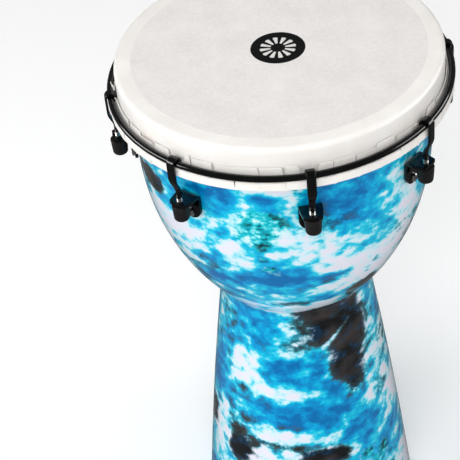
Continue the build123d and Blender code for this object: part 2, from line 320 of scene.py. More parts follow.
@dataclass(frozen=True)
class DyedPrint(Finish):
    """Tie-dye print under a glossy clear coat, on the moulded shell: bright ragged dye, hard shine."""

    name: str = "clear_coated_dye_print"
    cloud_mm: float = 40.0
    patch_mm: float = 17.0
    fringe_mm: float = 4.5
    speck_mm: float = 8.0
    orange_peel_mm: float = 3.0
    flattening: float = 1.35

    def ragged(
        self, tree: bpy.types.NodeTree, level: Socket | float, noises: list[tuple[Socket, float]]
    ) -> Socket:
        """Add centred noises to a dye level.

        Args:
            tree: the shader tree.
            level: the dye level.
            noises: each noise and its share.

        Returns:
            The ragged level.
        """
        for value, share in noises:
            centred = add(tree, "ShaderNodeMath", {0: value, 1: 0.5}, operation="SUBTRACT")
            parts = {0: centred.outputs[0], 1: share, 2: level}
            level = add(tree, "ShaderNodeMath", parts, operation="MULTIPLY_ADD").outputs[0]
        return level

    def build(self) -> bpy.types.Material:
        """Make the material from the shell's own dye attribute and ragged noise.

        Returns:
            The finished material.
        """
        values = {
            "Roughness": 0.4,
            "Specular IOR Level": 0.05,
            "Coat Weight": 1.0,
            "Coat IOR": 1.36,
            "Coat Roughness": 0.05,
        }
        material, tree, surface, place = self.start(values)
        dye = add(tree, "ShaderNodeAttribute", attribute_name="dye")
        parts = add(tree, "ShaderNodeSeparateColor", {0: dye.outputs["Color"]})
        flat = add(tree, "ShaderNodeMapping", {"Vector": place, "Scale": (1.0, 1.0, self.flattening)})
        cloud = grain(tree, flat.outputs[0], self.cloud_mm, 3.0)
        patch = grain(tree, flat.outputs[0], self.patch_mm, 3.0)
        fringe = grain(tree, flat.outputs[0], self.fringe_mm, 2.0)
        speck = grain(tree, flat.outputs[0], self.speck_mm, 2.0)
        blue = ramp(
            tree,
            self.ragged(tree, parts.outputs[0], [(cloud, 0.5), (patch, 1.7), (fringe, 0.28)]),
            [
                (0.11, "E4E5F2"),
                (0.23, "D2ECF6"),
                (0.35, "98E2F0"),
                (0.44, "2CCAE6"),
                (0.55, "00B8DE"),
                (0.68, "009CD6"),
                (0.82, "0084C2"),
                (0.97, "006CAE"),
            ],
        )
        teal_edge = add(
            tree,
            "ShaderNodeMapRange",
            {0: self.ragged(tree, parts.outputs[2], [(patch, 1.4), (fringe, 0.6)]), 1: 0.34, 2: 0.60},
        )
        teal = ramp(
            tree,
            self.ragged(tree, 0.5, [(patch, 1.2), (speck, 1.3)]),
            [
                (0.28, "D4F3F6"),
                (0.40, "7ADFE8"),
                (0.51, "1CC6D4"),
                (0.61, "08AEC0"),
                (0.70, "068A98"),
                (0.79, "055A64"),
                (0.90, "04343C"),
            ],
        )
        with_teal = add(
            tree, "ShaderNodeMix", {"Factor": teal_edge.outputs[0], 6: blue, 7: teal}, data_type="RGBA"
        )
        darkness = self.ragged(tree, parts.outputs[1], [(cloud, 0.4), (patch, 1.2), (fringe, 0.35)])
        fringe_edge = add(tree, "ShaderNodeMapRange", {0: darkness, 1: 0.27, 2: 0.58})
        black_edge = add(tree, "ShaderNodeMapRange", {0: darkness, 1: 0.41, 2: 0.80})
        rim = ramp(tree, patch, [(0.44, "084468"), (0.56, "3E585C")])
        black = ramp(tree, cloud, [(0.42, "14161A"), (0.52, "2C2A2A"), (0.66, "403937")])
        dim = add(
            tree,
            "ShaderNodeMix",
            {"Factor": fringe_edge.outputs[0], 6: with_teal.outputs[2], 7: rim},
            data_type="RGBA",
        )
        colour = add(
            tree,
            "ShaderNodeMix",
            {"Factor": black_edge.outputs[0], 6: dim.outputs[2], 7: black},
            data_type="RGBA",
        )
        tree.links.new(colour.outputs[2], surface.inputs["Base Color"])
        relief(tree, surface, grain(tree, place, self.orange_peel_mm), 0.012)
        return material


@dataclass(frozen=True)
class BareMoulding(Finish):
    """Bare inside of a moulded synthetic wall: dull dark grey with a slight cast mottle."""

    name: str = "bare_moulded_wall"
    mottle_mm: float = 14.0
    pit_mm: float = 1.6

    def build(self) -> bpy.types.Material:
        """Make the material.

        Returns:
            The finished material.
        """
        values = {"Roughness": 0.62}
        material, tree, surface, place = self.start(values)
        tone = ramp(tree, grain(tree, place, self.mottle_mm, 5.0), [(0.35, "2A2B2D"), (0.65, "3A3B3D")])
        tree.links.new(tone, surface.inputs["Base Color"])
        relief(tree, surface, grain(tree, place, self.pit_mm, 3.0), 0.12)
        return material


@dataclass(frozen=True)
class PolyesterFilm(Finish):
    """White polyester film, heat formed: milky, half gloss, with faint ripples from forming."""

    name: str = "formed_polyester_film"
    ripple_mm: float = 9.0
    cloud_mm: float = 30.0

    def build(self) -> bpy.types.Material:
        """Make the material.

        Returns:
            The finished material.
        """
        values = {"Roughness": 0.42, "IOR": 1.57}
        material, tree, surface, place = self.start(values)
        tone = ramp(tree, grain(tree, place, self.cloud_mm, 4.0), [(0.3, "EFEBE6"), (0.7, "F8F5F1")])
        tree.links.new(tone, surface.inputs["Base Color"])
        relief(tree, surface, grain(tree, place, self.ripple_mm, 2.0), 0.08)
        return material


@dataclass(frozen=True)
class SprayedCoating(Finish):
    """Rough sprayed coating on the playing area: warm grey, dull, with a cloudy fibrous mottle."""

    name: str = "sprayed_head_coating"
    cloud_mm: float = 34.0
    fibre_mm: float = 3.2
    grit_mm: float = 0.9

    def build(self) -> bpy.types.Material:
        """Make the material.

        Returns:
            The finished material.
        """
        values = {"Roughness": 0.78}
        material, tree, surface, place = self.start(values)
        fibres = grain(tree, place, self.fibre_mm, 6.0)
        cloud = grain(tree, place, self.cloud_mm, 5.0)
        blend = add(tree, "ShaderNodeMix", {"Factor": 0.5, 2: fibres, 3: cloud}, data_type="FLOAT")
        tone = ramp(
            tree, blend.outputs[0], [(0.34, "DFDBD7"), (0.48, "E5E1DE"), (0.60, "E9E6E3"), (0.72, "EDEAE8")]
        )
        tree.links.new(tone, surface.inputs["Base Color"])
        relief(tree, surface, grain(tree, place, self.grit_mm, 3.0), 0.05)
        return material


@dataclass(frozen=True)
class PrintedInk(Finish):
    """Screen-printed ink: flat and satin, with a fine speckle where it lies thinly."""

    name: str
    tone: str
    worn: str
    grit_mm: float = 1.1

    def build(self) -> bpy.types.Material:
        """Make the material.

        Returns:
            The finished material.
        """
        values = {"Roughness": 0.5, "Specular IOR Level": 0.25}
        material, tree, surface, place = self.start(values)
        speckle = grain(tree, place, self.grit_mm, 3.0)
        tint = ramp(tree, speckle, [(0.3, self.tone), (0.7, self.worn)])
        tree.links.new(tint, surface.inputs["Base Color"])
        relief(tree, surface, speckle, 0.03)
        return material


@dataclass(frozen=True)
class PowderCoat(Finish):
    """Gloss black powder coat on steel: deep black, sharp edge lights, fine orange peel."""

    name: str = "gloss_black_powder_coat"
    tone: str = "040405"
    roughness: float = 0.13
    peel_mm: float = 1.3
    cloud_mm: float = 11.0

    def build(self) -> bpy.types.Material:
        """Make the material.

        Returns:
            The finished material.
        """
        values = {"Roughness": self.roughness, "Specular IOR Level": 0.4}
        material, tree, surface, place = self.start(values)
        tone = ramp(tree, grain(tree, place, self.cloud_mm, 3.0), [(0.35, self.tone), (0.7, "09090A")])
        tree.links.new(tone, surface.inputs["Base Color"])
        relief(tree, surface, grain(tree, place, self.peel_mm), 0.012)
        return material


@dataclass(frozen=True)
class ZincPlate(Finish):
    """Bright zinc plated steel: pale cool metal with slight dulling in patches."""

    name: str = "bright_zinc_plate"
    tone: str = "D2D4D3"
    blotch_mm: float = 2.5

    def build(self) -> bpy.types.Material:
        """Make the material.

        Returns:
            The finished material.
        """
        values = {"Metallic": 1.0}
        material, tree, surface, place = self.start(values)
        blotch = grain(tree, place, self.blotch_mm, 4.0)
        tree.links.new(ramp(tree, blotch, [(0.3, "B9BBBA"), (0.7, self.tone)]), surface.inputs["Base Color"])
        dull = add(tree, "ShaderNodeMapRange", {0: blotch, 1: 0.3, 2: 0.7, 3: 0.32, 4: 0.2})
        tree.links.new(dull.outputs[0], surface.inputs["Roughness"])
        return material


@dataclass(frozen=True)
class DrawnSteel(Finish):
    """Plain drawn steel bar: grey metal with fine lines from the die."""

    name: str = "plain_drawn_steel"
    line_mm: float = 0.8

    def build(self) -> bpy.types.Material:
        """Make the material.

        Returns:
            The finished material.
        """
        values = {"Metallic": 1.0, "Roughness": 0.4}
        material, tree, surface, place = self.start(values)
        lines = grain(tree, place, self.line_mm, 2.0)
        tree.links.new(ramp(tree, lines, [(0.3, "77787A"), (0.7, "96979A")]), surface.inputs["Base Color"])
        relief(tree, surface, lines, 0.02)
        return material


@dataclass(frozen=True)
class BlackOxide(Finish):
    """Black oxide on steel washers: satin, nearly black, faintly brown."""

    name: str = "black_oxide_steel"
    patch_mm: float = 3.0

    def build(self) -> bpy.types.Material:
        """Make the material.

        Returns:
            The finished material.
        """
        values = {"Metallic": 0.6, "Roughness": 0.45}
        material, tree, surface, place = self.start(values)
        patch = grain(tree, place, self.patch_mm, 3.0)
        tree.links.new(ramp(tree, patch, [(0.3, "1A1918"), (0.7, "26241F")]), surface.inputs["Base Color"])
        return material


@dataclass(frozen=True)
class MouldedRubber(Finish):
    """Moulded black rubber: dark warm grey, dull, with the mould's fine grain."""

    name: str = "moulded_black_rubber"
    grain_mm: float = 0.7
    bloom_mm: float = 8.0

    def build(self) -> bpy.types.Material:
        """Make the material.

        Returns:
            The finished material.
        """
        values = {"Roughness": 0.55, "Specular IOR Level": 0.3}
        material, tree, surface, place = self.start(values)
        bloom = grain(tree, place, self.bloom_mm, 4.0)
        tree.links.new(ramp(tree, bloom, [(0.3, "151313"), (0.7, "211E1E")]), surface.inputs["Base Color"])
        relief(tree, surface, grain(tree, place, self.grain_mm, 3.0), 0.04)
        return material


@dataclass(frozen=True)
class StudioPaint(Finish):
    """Flat white studio paint that glows a little: an even pale surround without any detail."""

    name: str
    tone: str
    glow: float
    roughness: float

    def build(self) -> bpy.types.Material:
        """Make the material.

        Returns:
            The finished material.
        """
        values = {
            "Base Color": linear(self.tone),
            "Roughness": self.roughness,
            "Emission Color": linear("FFFFFF"),
            "Emission Strength": self.glow,
        }
        return self.start(values)[0]


class Look(Enum):
    """Every finish on the drum and in the studio."""

    PRINT = DyedPrint()
    INSIDE = BareMoulding()
    FILM = PolyesterFilm()
    COATING = SprayedCoating()
    BLACK_INK = PrintedInk("black_screen_ink", "060607", "101011")
    PALE_INK = PrintedInk("pale_screen_ink", "E4E2DF", "D2D0CD")
    COAT = PowderCoat()
    ZINC = ZincPlate()
    STEEL = DrawnSteel()
    OXIDE = BlackOxide()
    RUBBER = MouldedRubber()
    FLOOR = StudioPaint("matte_white_floor", "FBFBFB", 0.14, 0.9)
    BACKDROP = StudioPaint("pale_backdrop_paper", "000000", 0.5, 0.5)

    def material(self) -> bpy.types.Material:
        """Make the finish's material the first time, and give the same one again after that.

        Returns:
            The material.
        """
        return bpy.data.materials.get(self.value.name) or self.value.build()


# ---------------------------------------------------------------- geometry trees


class TurnedTree:
    """A geometry tree that turns a closed profile about the drum's axis."""

    PATH_RADIUS = 1.0

    def __init__(self) -> None:
        """Build the tree with its named inputs."""
        self.tree = bpy.data.node_groups.new("turned_profile", "GeometryNodeTree")
        face = self.tree.interface
        face.new_socket(name="Geometry", in_out="INPUT", socket_type="NodeSocketGeometry")
        self.steps = face.new_socket(name="Steps", in_out="INPUT", socket_type="NodeSocketInt").identifier
        self.finish = face.new_socket(
            name="Finish", in_out="INPUT", socket_type="NodeSocketMaterial"
        ).identifier
        face.new_socket(name="Geometry", in_out="OUTPUT", socket_type="NodeSocketGeometry")
        start = add(self.tree, "NodeGroupInput")
        profile = add(self.tree, "GeometryNodeMeshToCurve", {0: start.outputs[0]})
        circle = add(
            self.tree,
            "GeometryNodeCurvePrimitiveCircle",
            {"Resolution": start.outputs[1], "Radius": self.PATH_RADIUS},
        )
        level = add(self.tree, "GeometryNodeSetCurveNormal", {0: circle.outputs[0]}, mode="Z_UP")
        body = add(self.tree, "GeometryNodeCurveToMesh", {0: level.outputs[0], 1: profile.outputs[0]})
        real = add(self.tree, "GeometryNodeRealizeInstances", {0: body.outputs[0]})
        dressed = add(self.tree, "GeometryNodeSetMaterial", {0: real.outputs[0], 2: start.outputs[2]})
        add(self.tree, "NodeGroupOutput", {0: dressed.outputs[0]})

    def turn(self, name: str, profile: Section, steps: int, look: Look) -> bpy.types.Object:
        """Turn a closed profile into a piece.

        Args:
            name: the piece's name.
            profile: radius and height of each point, in metres, in order.
            steps: the number of steps round the axis.
            look: the piece's finish.

        Returns:
            The finished mesh object.
        """
        points = [(r - self.PATH_RADIUS, -z, 0.0) for r, z in profile]
        count = len(points)
        mesh = bpy.data.meshes.new(name)
        mesh.from_pydata(points, [(i, (i + 1) % count) for i in range(count)], [])
        piece = bpy.data.objects.new(name, mesh)
        bpy.context.scene.collection.objects.link(piece)
        modifier = piece.modifiers.new("turned", "NODES")
        modifier.node_group = self.tree
        modifier[self.steps] = steps
        modifier[self.finish] = look.material()
        apply_modifiers(piece)
        outward(piece)
        return piece


# ---------------------------------------------------------------- shell


class Dye(Enum):
    """What a patch of the print is dyed with: its blue, black and teal levels."""

    BARE = (0.12, 0.0, 0.0)
    PALE = (0.36, 0.0, 0.0)
    CYAN = (0.6, 0.0, 0.0)
    DEEP = (0.86, 0.0, 0.0)
    TEAL = (0.5, 0.0, 0.85)
    SMOKE = (0.45, 0.6, 0.0)
    BLACK = (0.4, 0.95, 0.0)


@dataclass(frozen=True)
class DyePatch:
    """One large patch of the print, in degrees round, millimetres up and millimetres across."""

    dye: Dye
    azimuth: float
    height: float
    wide: float
    tall: float
    slant: float = 0.0


@dataclass
class PrintedShell:
    """The moulded goblet with its printed outside and bare inside."""

    trees: TurnedTree
    wall: float = 4.5 * MM
    foot_r: float = 119.8 * MM
    tube_mid: tuple[float, float] = (103.3 * MM, 148.0 * MM)
    waist: tuple[float, float] = (80.0 * MM, 318.0 * MM)
    bowl_r: float = 144.5 * MM
    bowl_z: float = 515.0 * MM
    bowl_arc_r: float = 270.0 * MM
    lip_r: float = 152.0 * MM
    lip_z: float = 592.0 * MM
    lip_wall: float = 6.5 * MM
    top_z: float = 609.3 * MM
    lip_round: float = 3.0 * MM
    foot_round: float = 2.0 * MM
    neck_blend: float = 6.0 * MM
    row: float = 3.0 * MM
    inner_row: float = 12.0 * MM
    steps: int = 300
    ground_share: float = 0.22
    ground_scale: float = 13.0
    patch_fade: float = 1.6
    patch_share: float = 2.2
    patch_norm: float = 60.0
    patches: list[DyePatch] = field(
        default_factory=lambda: [
            # the bowl under the rim, round the two front hooks
            DyePatch(Dye.BLACK, -160, 520, 20, 10),
            DyePatch(Dye.CYAN, -170, 540, 25, 10),
            DyePatch(Dye.DEEP, -125, 540, 15, 15),
            DyePatch(Dye.DEEP, -105, 540, 15, 10),
            DyePatch(Dye.PALE, -95, 530, 8, 12),
            DyePatch(Dye.DEEP, -75, 540, 35, 18),
            DyePatch(Dye.TEAL, -110, 510, 20, 20),
            DyePatch(Dye.PALE, -130, 510, 15, 10),
            # the bowl's middle, mostly bare
            DyePatch(Dye.BARE, -145, 480, 30, 15),
            DyePatch(Dye.BARE, -85, 480, 40, 15),
            DyePatch(Dye.BARE, -120, 470, 15, 15),
            DyePatch(Dye.CYAN, -75, 490, 10, 10),
            DyePatch(Dye.CYAN, -130, 460, 15, 8),
            DyePatch(Dye.CYAN, -95, 460, 20, 5),
            DyePatch(Dye.BARE, -75, 450, 30, 12),
            DyePatch(Dye.PALE, -145, 450, 20, 10),
            # the blue belt at the bowl's foot, and the pale neck
            DyePatch(Dye.DEEP, -105, 430, 35, 8),
            DyePatch(Dye.DEEP, -130, 420, 20, 8),
            DyePatch(Dye.CYAN, -130, 390, 25, 8, 25),
            DyePatch(Dye.BARE, -75, 410, 30, 12),
            DyePatch(Dye.SMOKE, -100, 380, 20, 6),
            DyePatch(Dye.BARE, -80, 370, 20, 6),
            # the black stain on the right of the tube, with its pale streak
            DyePatch(Dye.BLACK, -60, 380, 15, 15),
            DyePatch(Dye.BLACK, -80, 340, 25, 12),
            DyePatch(Dye.BLACK, -80, 310, 12, 15),
            DyePatch(Dye.BLACK, -60, 300, 20, 30),
            DyePatch(Dye.BLACK, -65, 250, 20, 30),
            DyePatch(Dye.BARE, -70, 300, 20, 3, 35),
            DyePatch(Dye.SMOKE, -100, 310, 20, 20),
            # the blue tube with its bare sweeps
            DyePatch(Dye.DEEP, -130, 330, 30, 10),
            DyePatch(Dye.CYAN, -115, 310, 25, 10),
            DyePatch(Dye.BARE, -140, 260, 15, 20),
            DyePatch(Dye.DEEP, -105, 260, 25, 15),
            DyePatch(Dye.BARE, -110, 230, 30, 6),
            DyePatch(Dye.DEEP, -170, 230, 15, 25),
            DyePatch(Dye.DEEP, -75, 230, 12, 12),
            DyePatch(Dye.DEEP, -100, 200, 45, 12),
            DyePatch(Dye.CYAN, -125, 200, 20, 10),
            # the pale foot with two black stains
            DyePatch(Dye.BARE, -115, 170, 40, 8),
            DyePatch(Dye.BLACK, -145, 130, 12, 15, -30),
            DyePatch(Dye.BLACK, -85, 140, 25, 10),
            DyePatch(Dye.BARE, -115, 140, 20, 12),
            DyePatch(Dye.BARE, -160, 150, 12, 30),
            DyePatch(Dye.DEEP, -60, 160, 20, 20),
            DyePatch(Dye.PALE, -165, 100, 30, 20),
        ]
    )

    def tube_circle(self, inset: float) -> tuple[float, float, float]:
        """The circle of the flared tube's profile, through waist, middle and foot.

        Args:
            inset: how far inside the outer surface.

        Returns:
            The centre's radius and height, and the circle's radius.
        """
        (x1, y1), (x2, y2), (x3, y3) = self.waist, self.tube_mid, (self.foot_r, 0.0)
        sides = np.array([[x2 - x1, y2 - y1], [x3 - x1, y3 - y1]]) * 2
        squares = np.array([x2**2 - x1**2 + y2**2 - y1**2, x3**2 - x1**2 + y3**2 - y1**2])
        centre = np.linalg.solve(sides, squares)
        radius = math.hypot(x1 - centre[0], y1 - centre[1])
        return centre[0] - inset, centre[1], radius

    def radius_at(self, height: float, inset: float, lip_inset: float) -> float:
        """The wall's radius at a height.

        Args:
            height: metres above the foot.
            inset: how far inside the outer surface, below the bowl's widest point.
            lip_inset: the same at the lip.

        Returns:
            The radius of that surface.
        """
        if height >= self.bowl_z:
            lip = self.lip_r - lip_inset
            start = self.bowl_r - inset
            out, up = lip - start, self.lip_z - self.bowl_z
            sweep = (out**2 + up**2) / (2 * out)
            rise = min(height - self.bowl_z, up)
            return start + sweep - math.sqrt(sweep**2 - rise**2)
        arc_r = self.bowl_arc_r - inset
        drop = self.bowl_z - height
        bowl = self.bowl_r - self.bowl_arc_r + math.sqrt(max(arc_r**2 - drop**2, 0.0))
        centre_r, centre_z, tube_r = self.tube_circle(inset)
        tube = self.waist[0] - inset
        if height < self.waist[1]:
            side = 1 if centre_r < tube else -1
            tube = centre_r + side * math.sqrt(tube_r**2 - (height - centre_z) ** 2)
        near = max(self.neck_blend - abs(bowl - tube), 0.0) / self.neck_blend
        return max(bowl, tube) + near**2 * self.neck_blend / 4

    def profile(self) -> Section:
        """Draw the wall's closed section, up the outside and down the inside.

        Returns:
            The section's points.
        """
        outside_top = self.top_z - self.lip_round
        rows = int((outside_top - self.foot_round) / self.row)
        heights = [self.foot_round + (outside_top - self.foot_round) * i / rows for i in range(rows + 1)]
        outside = [(self.radius_at(z, 0.0, 0.0), z) for z in heights]
        foot_out = self.radius_at(0.0, 0.0, 0.0)
        foot_in = self.radius_at(0.0, self.wall, self.lip_wall)
        curve = self.foot_round
        out_corner = arc((foot_out - curve, curve), curve, 270, 350, 6)
        in_corner = arc((foot_in + curve, curve), curve, 190, 270, 6)
        lip_out = arc((self.lip_r - self.lip_round, outside_top), self.lip_round, 10, 90, 8)
        inner_lip = self.lip_r - self.lip_wall
        lip_in = arc((inner_lip + self.lip_round, outside_top), self.lip_round, 90, 170, 8)
        inner_rows = int(outside_top / self.inner_row)
        inner_heights = [outside_top - (outside_top - curve) * i / inner_rows for i in range(inner_rows + 1)]
        inside = [(self.radius_at(z, self.wall, self.lip_wall), z) for z in inner_heights]
        return out_corner + outside + lip_out + lip_in + inside + in_corner

    def dye(self, piece: bpy.types.Object) -> None:
        """Write the dye levels of every point, blue, black and teal, in one colour attribute.

        Args:
            piece: the turned shell.
        """
        count = len(piece.data.vertices)
        flat = np.empty(count * 3)
        piece.data.vertices.foreach_get("co", flat)
        points = flat.reshape(-1, 3)
        radius = np.hypot(points[:, 0], points[:, 1])
        turn = np.arctan2(points[:, 1], points[:, 0])
        ground = np.empty((count, 3))
        for i, point in enumerate(points):
            spot = Vector(point) * self.ground_scale
            wide = noise.noise(spot) + 0.5 * noise.noise(spot * 2.1 + Vector((7, 3, 1)))
            dark = noise.noise(spot * 0.8 + Vector((31, 5, 17)))
            green = noise.noise(spot * 1.3 + Vector((3, 41, 9)))
            ground[i] = (0.46 + 0.62 * wide, 0.04 + 1.0 * dark, 0.12 + 0.6 * green)
        total = np.full(count, self.ground_share)
        levels = ground * self.ground_share
        for patch in self.patches:
            away = (turn - math.radians(patch.azimuth) + math.pi) % (2 * math.pi) - math.pi
            across = away * radius / MM
            up = points[:, 2] / MM - patch.height
            tilt = math.radians(patch.slant)
            along = (across * math.cos(tilt) + up * math.sin(tilt)) / patch.wide
            over = (up * math.cos(tilt) - across * math.sin(tilt)) / patch.tall
            weight = np.exp(-self.patch_fade * (along**2 + over**2))
            weight = weight * (self.patch_norm / (patch.wide + patch.tall)) ** 0.5 * self.patch_share
            total += weight
            levels += weight[:, None] * np.array(patch.dye.value)
        levels /= total[:, None]
        colours = np.ones((count, 4))
        colours[:, :3] = np.clip(levels, 0.0, 1.0)
        layer = piece.data.color_attributes.new("dye", "FLOAT_COLOR", "POINT")
        layer.data.foreach_set("color", colours.ravel())

    def build(self) -> list[bpy.types.Object]:
        """Turn the wall and dress its two sides.

        Returns:
            The shell, alone in a list.
        """
        piece = self.trees.turn("printed_shell", self.profile(), self.steps, Look.PRINT)
        piece.data.materials.append(Look.INSIDE.material())
        inner_lip = self.lip_r - self.lip_wall
        for polygon in piece.data.polygons:
            centre = polygon.center
            reach = math.hypot(centre.x, centre.y)
            facing = polygon.normal.x * centre.x + polygon.normal.y * centre.y
            inside = facing < 0 and reach < inner_lip + self.lip_round
            polygon.material_index = 1 if inside or polygon.normal.z < -0.9 else 0
        self.dye(piece)
        shade(piece, 50.0)
        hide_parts("shell")
        return [piece]


# ---------------------------------------------------------------- head


@dataclass
class FilmHead:
    """The formed film with its coating, its mark and its folded edge."""

    trees: TurnedTree
    top: float = 610.0 * MM
    film: float = 0.4 * MM
    collar_r: float = 156.2 * MM
    shoulder: float = 5.0 * MM
    fold_low: float = 570.45 * MM
    skirt_r: float = 163.75 * MM
    over_z: float = 579.35 * MM
    tab_r: float = 158.3 * MM
    tab_top: float = 590.5 * MM
    ring_top: float = 586.2 * MM
    fold_start_r: float = 157.4 * MM
    steps: int = 288
    coating_r: float = 140.0 * MM
    coating: float = 0.15 * MM
    mark_r: float = 26.0 * MM
    mark: float = 0.1 * MM
    ray_count: int = 12
    ray_span: tuple[float, float] = (7.0 * MM, 16.5 * MM)
    flaps: int = 46
    flap_columns: int = 10
    slit: float = 0.005
    flare: float = 0.9 * MM
    notch: float = 7.5 * MM
    seed: int = 12
    hole: float = 0.6 * MM
    hem: float = 1.3 * MM
    lean_from: float = 8.0 * MM
    tab_twist: float = 0.012
    tab_taper: float = 0.08
    tab_vary: float = 2.4 * MM
    tab_inward: float = 1.0 * MM
    tab_flare: float = 3.2 * MM
    notch_edge: float = 1.5 * MM
    notch_left: float = 0.12
    wave: float = 0.22 * MM

    def body(self) -> bpy.types.Object:
        """Turn the flat, the shoulder, the collar and the start of the fold, as one formed film.

        Returns:
            The film without its flaps.
        """
        flat = self.collar_r - self.shoulder
        centre = (flat, self.top - self.shoulder)
        rings = [(flat * i / 10, self.top) for i in range(1, 10)]
        outer = arc(centre, self.shoulder, 90, 0, 9)
        inner = arc(centre, self.shoulder - self.film, 0, 90, 9)
        rows = 12
        low = self.fold_low + self.film
        down = [(self.collar_r, centre[1] + (low - centre[1]) * i / rows) for i in range(1, rows + 1)]
        foot = [(self.fold_start_r, self.fold_low), (self.collar_r - self.film, self.fold_low)]
        under = [(r, self.top - self.film) for r, _ in reversed(rings)]
        start = [(0.5 * MM, self.top)]
        end = [(0.5 * MM, self.top - self.film)]
        profile = start + rings + outer + down + foot + inner + under + end
        piece = self.trees.turn("head_film_body", profile, self.steps, Look.FILM)
        close_axis(piece, self.hole)
        self.ripple(piece)
        shade(piece, 60.0)
        return piece

    def ripple(self, piece: bpy.types.Object) -> None:
        """Give the collar the slight waves that forming and tension leave in film.

        Args:
            piece: the turned film.
        """
        for vertex in piece.data.vertices:
            depth = (self.top - self.shoulder - vertex.co.z) / (self.top - self.fold_low)
            if depth <= 0:
                continue
            reach = math.hypot(vertex.co.x, vertex.co.y)
            turn = math.atan2(vertex.co.y, vertex.co.x)
            spot = Vector((math.cos(turn) * 9, math.sin(turn) * 9, vertex.co.z * 60))
            push = self.wave * depth * noise.noise(spot)
            vertex.co.x *= (reach + push) / reach
            vertex.co.y *= (reach + push) / reach

    def flap_path(self) -> Section:
        """Draw one flap's middle line: out under the hoop, up its outside, over it and up the collar.

        Returns:
            The line's points.
        """
        half = self.film / 2
        low, side, over = self.fold_low + half, self.skirt_r - half, self.over_z + half
        corner = self.hem
        path = [(self.fold_start_r, low), (side - corner, low)]
        path += arc((side - corner, low + corner), corner, 285, 360, 4)
        path += [(side, low + (over - low) * f) for f in (0.35, 0.6)]
        path += arc((side - corner, over - corner), corner, 0, 90, 4)
        path += [(self.tab_r + 1.0 * MM, over), (self.tab_r + 0.25 * MM, over + 0.5 * MM)]
        rows, base = 5, over + 1.4 * MM
        path += [(self.tab_r, base + (self.tab_top - base) * i / rows) for i in range(rows + 1)]
        return path

    def flap_tree(self) -> tuple[bpy.types.NodeTree, dict[str, str]]:
        """Build the geometry tree that lays flat flaps side by side with random differences.

        Returns:
            The tree and the identifiers of its named inputs.
        """
        tree = bpy.data.node_groups.new("film_flaps", "GeometryNodeTree")
        face = tree.interface
        face.new_socket(name="Geometry", in_out="INPUT", socket_type="NodeSocketGeometry")
        names = {}
        for name, kind in (("Count", "Int"), ("Pitch", "Float"), ("Seed", "Int"), ("Finish", "Material")):
            made = face.new_socket(name=name, in_out="INPUT", socket_type=f"NodeSocket{kind}")
            names[name] = made.identifier
        face.new_socket(name="Geometry", in_out="OUTPUT", socket_type="NodeSocketGeometry")
        start = add(tree, "NodeGroupInput")
        pitch = add(tree, "ShaderNodeCombineXYZ", {0: start.outputs["Pitch"]})
        links = {"Count": start.outputs["Count"], "Offset": pitch.outputs[0]}
        line = add(tree, "GeometryNodeMeshLine", links)
        links = {"Points": line.outputs[0], "Instance": start.outputs[0]}
        copies = add(tree, "GeometryNodeInstanceOnPoints", links)
        previous = copies.outputs[0]
        for step, (name, low, high) in enumerate(
            (("lean", -0.22, 0.22), ("grow", -1.0, 1.0), ("lift", 0.0, 1.0), ("tip", -1.0, 1.0))
        ):
            seed = add(tree, "ShaderNodeMath", {0: start.outputs["Seed"], 1: float(step)}, operation="ADD")
            value = add(tree, "FunctionNodeRandomValue", data_type="FLOAT")
            floats = [s for s in value.inputs if s.enabled and s.type == "VALUE"]
            floats[0].default_value, floats[1].default_value = low, high
            tree.links.new(seed.outputs[0], value.inputs["Seed"])
            result = [s for s in value.outputs if s.enabled][0]
            store = add(
                tree,
                "GeometryNodeStoreNamedAttribute",
                {"Geometry": previous, "Name": name},
                data_type="FLOAT",
                domain="INSTANCE",
            )
            tree.links.new(result, [s for s in store.inputs if s.enabled and s.name == "Value"][0])
            previous = store.outputs[0]
        real = add(tree, "GeometryNodeRealizeInstances", {0: previous})
        dressed = add(tree, "GeometryNodeSetMaterial", {0: real.outputs[0], 2: start.outputs["Finish"]})
        add(tree, "NodeGroupOutput", {0: dressed.outputs[0]})
        return tree, names

    def folded_flaps(self) -> bpy.types.Object:
        """Make the film's cut edge: flaps folded round the hoop, their ends behind the ring.

        Returns:
            All the flaps, as one mesh.
        """
        path = self.flap_path()
        pitch = 2 * math.pi / self.flaps
        columns = self.flap_columns
        line = np.array(path)
        steps = np.gradient(line, axis=0)
        steps /= np.linalg.norm(steps, axis=1)[:, None]
        normal = np.stack([steps[:, 1], -steps[:, 0]], axis=1) * self.film / 2
        ring = np.concatenate([line + normal, (line - normal)[::-1]])
        along = np.concatenate([[0], np.cumsum(np.linalg.norm(np.diff(line, axis=0), axis=1))])
        along = np.concatenate([along, along[::-1]])
        points, faces = [], []
        size = len(ring)
        for c in range(columns + 1):
            turn = pitch * (c / columns - 0.5) * (1 - self.slit)
            points += [(turn, r, z) for r, z in ring]
        for c in range(columns):
            for i in range(size):
                j = (i + 1) % size
                faces.append((c * size + i, c * size + j, (c + 1) * size + j, (c + 1) * size + i))
        faces.append(tuple(range(size)))
        faces.append(tuple(columns * size + i for i in reversed(range(size))))
        piece = mesh_object("head_film_flaps", np.array(points), faces)
        attribute = piece.data.attributes.new("along", "FLOAT", "POINT")
        attribute.data.foreach_set("value", np.tile(along, columns + 1))
        tree, names = self.flap_tree()
        modifier = piece.modifiers.new("flaps", "NODES")
        modifier.node_group = tree
        modifier[names["Count"]] = self.flaps
        modifier[names["Pitch"]] = pitch
        modifier[names["Seed"]] = self.seed
        modifier[names["Finish"]] = Look.FILM.material()
        apply_modifiers(piece)
        self.wrap(piece)
        outward(piece)
        shade(piece, 40.0)
        return piece

    def wrap(self, piece: bpy.types.Object) -> None:
        """Bend the row of flat flaps round the axis, each with its own lean, length and lift.

        Args:
            piece: the row of flaps, which carries its random differences as attributes.
        """
        mesh = piece.data
        count = len(mesh.vertices)

